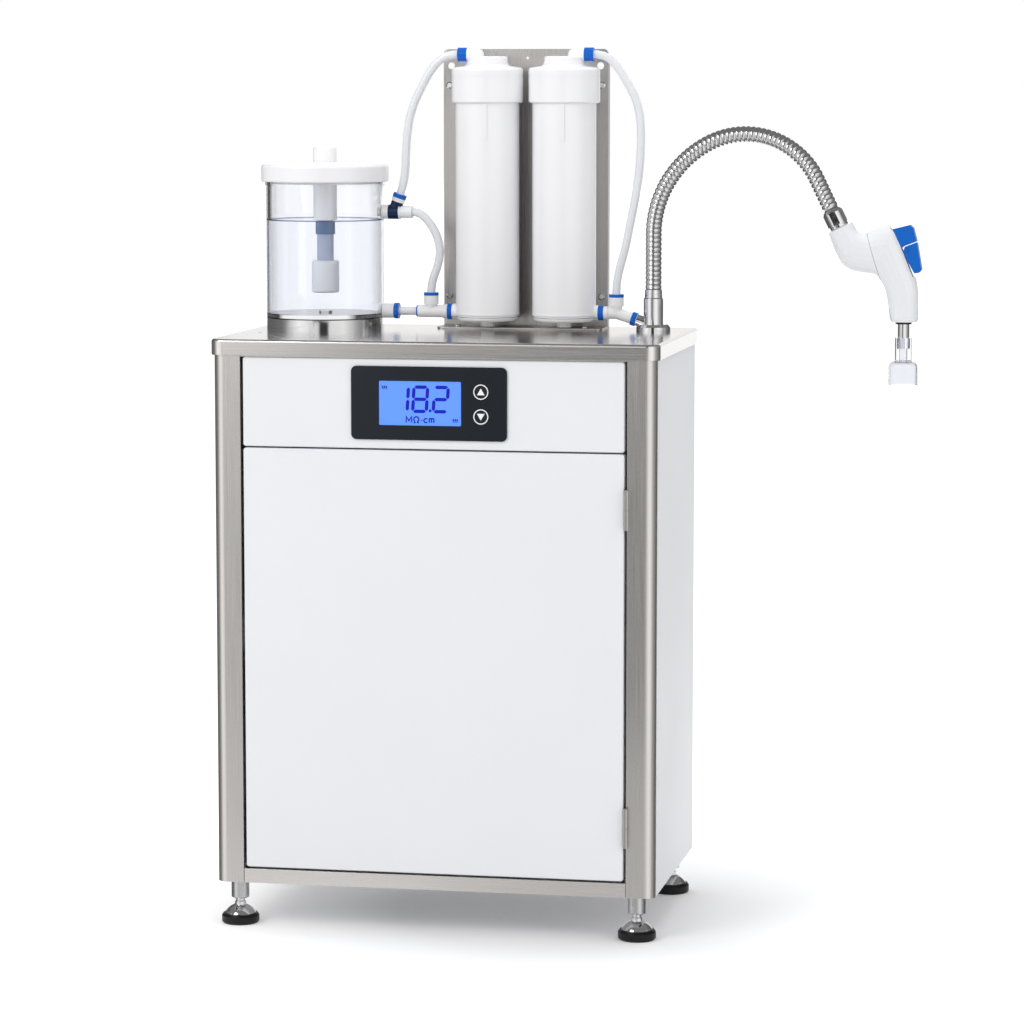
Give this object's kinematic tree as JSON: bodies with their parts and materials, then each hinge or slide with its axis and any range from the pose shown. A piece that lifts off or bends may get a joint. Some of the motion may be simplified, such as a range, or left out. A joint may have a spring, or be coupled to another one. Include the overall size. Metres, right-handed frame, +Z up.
{
  "type": "ultrapure water system",
  "caption": "Floor-standing water purifier cabinet with display panel, hinged door, float tank, filter canisters, push-fit tubing and a swivelling gooseneck dispensing gun.",
  "frame": {"origin": "on the floor, under the middle of the whole object's bounding box", "axes": "+X to the right seen from the front, +Y to the back, +Z up"},
  "size_m": [0.7622, 0.3186, 0.9753],
  "materials": {
    "stainless": "brushed",
    "white_coat": "fine powder coat",
    "panel_black": "gloss",
    "display_glass": "clear over a lit panel",
    "board": "solder mask",
    "white_plastic": "satin moulded",
    "clear_plastic": "clear moulded acrylic",
    "tube_plastic": "translucent",
    "collet_blue": "gloss",
    "navy_plastic": "gloss",
    "trigger_blue": "satin",
    "stem_blue": "translucent",
    "chrome": "polished",
    "rubber_black": "matt",
    "motor_paint": "satin",
    "supply_case": "satin"
  },
  "bodies": {
    "cabinet": {"frame_posts": "stainless", "frame_rails": "stainless", "base_panel": "white_coat", "left_side_panel": "white_coat", "right_side_panel": "white_coat", "rear_panel": "white_coat", "top_plate": "stainless", "control_fascia": "white_coat", "display_bezel": "panel_black", "lcd_window": "display_glass", "control_board": "board", "frame_hinge_halves": "stainless", "door_catch": "stainless", "foot_sleeves": "stainless", "bulkhead_fittings": "white_plastic", "equipment_rail": "white_coat", "prefilter_heads": "white_plastic", "prefilter_bowls": "white_plastic", "membrane_housing": "white_plastic", "booster_pump": "motor_paint", "power_supply": "supply_case", "internal_pipes": "white_plastic", "tank_base_ring": "chrome", "tank_vessel": "clear_plastic", "tank_ports": "white_plastic", "tank_tee": "navy_plastic", "branch_tees": "white_plastic", "blue_collets": "collet_blue", "tall_tubes": "tube_plastic", "short_tubes": "tube_plastic", "filter_backplate": "stainless", "panel_screws": "chrome", "filter_canisters": "white_plastic", "filter_caps": "white_plastic", "gooseneck_base": "chrome"},
    "door": {"door_panel": "white_coat", "door_hinge_halves": "stainless"},
    "up_key": {"up_button": "panel_black"},
    "down_key": {"down_button": "panel_black"},
    "gooseneck": {"gooseneck_hose": "chrome", "hose_ferrules": "chrome", "gun_elbow": "white_plastic", "gun_body": "white_plastic", "trigger_cap": "trigger_blue", "outlet_seal": "rubber_black", "outlet_tube": "chrome", "nozzle_bell": "clear_plastic"},
    "trigger": {"trigger_lever": "trigger_blue"},
    "lid": {"tank_lid": "white_plastic", "guide_tube": "white_plastic", "float_stem": "stem_blue"},
    "float": {"float_bottle": "tube_plastic"},
    "front_left_foot": {"front_left_spindle": "chrome", "front_left_pad": "rubber_black"},
    "front_right_foot": {"front_right_spindle": "chrome", "front_right_pad": "rubber_black"},
    "rear_left_foot": {"rear_left_spindle": "chrome", "rear_left_pad": "rubber_black"},
    "rear_right_foot": {"rear_right_spindle": "chrome", "rear_right_pad": "rubber_black"}
  },
  "joints": [
    {"name": "door_hinge", "type": "hinge", "parent": "cabinet", "child": "door", "pos_m": [0.08436, -0.15615, 0.32], "axis": [0, 0, 1], "range_deg": [0, 150]},
    {"name": "up_key_press", "type": "slide", "parent": "cabinet", "child": "up_key", "axis": [0, 1, 0], "range_m": [0, 0.001], "stiffness_N_per_m": 800, "springref_m": -0.0005},
    {"name": "down_key_press", "type": "slide", "parent": "cabinet", "child": "down_key", "axis": [0, 1, 0], "range_m": [0, 0.001], "stiffness_N_per_m": 800, "springref_m": -0.0005},
    {"name": "neck_swivel", "type": "hinge", "parent": "cabinet", "child": "gooseneck", "pos_m": [0.07836, 0.0673, 0.698], "axis": [0, 0, 1], "range_deg": [-100, 100]},
    {"name": "trigger_squeeze", "type": "hinge", "parent": "gooseneck", "child": "trigger", "pos_m": [0.36424, 0.0673, 0.75035], "axis": [0, 1, 0], "range_deg": [0, 7], "stiffness_Nm_per_rad": 0.8, "springref_deg": -2.86},
    {"name": "lid_lift", "type": "slide", "parent": "cabinet", "child": "lid", "axis": [0, 0, 1], "range_m": [0, 0.16]},
    {"name": "float_rise", "type": "slide", "parent": "lid", "child": "float", "axis": [0, 0, 1], "range_m": [0, 0.025]},
    {"name": "front_left_level", "type": "slide", "parent": "cabinet", "child": "front_left_foot", "axis": [0, 0, -1], "range_m": [0, 0.01]},
    {"name": "front_right_level", "type": "slide", "parent": "cabinet", "child": "front_right_foot", "axis": [0, 0, -1], "range_m": [0, 0.01]},
    {"name": "rear_left_level", "type": "slide", "parent": "cabinet", "child": "rear_left_foot", "axis": [0, 0, -1], "range_m": [0, 0.01]},
    {"name": "rear_right_level", "type": "slide", "parent": "cabinet", "child": "rear_right_foot", "axis": [0, 0, -1], "range_m": [0, 0.01]}
  ]
}
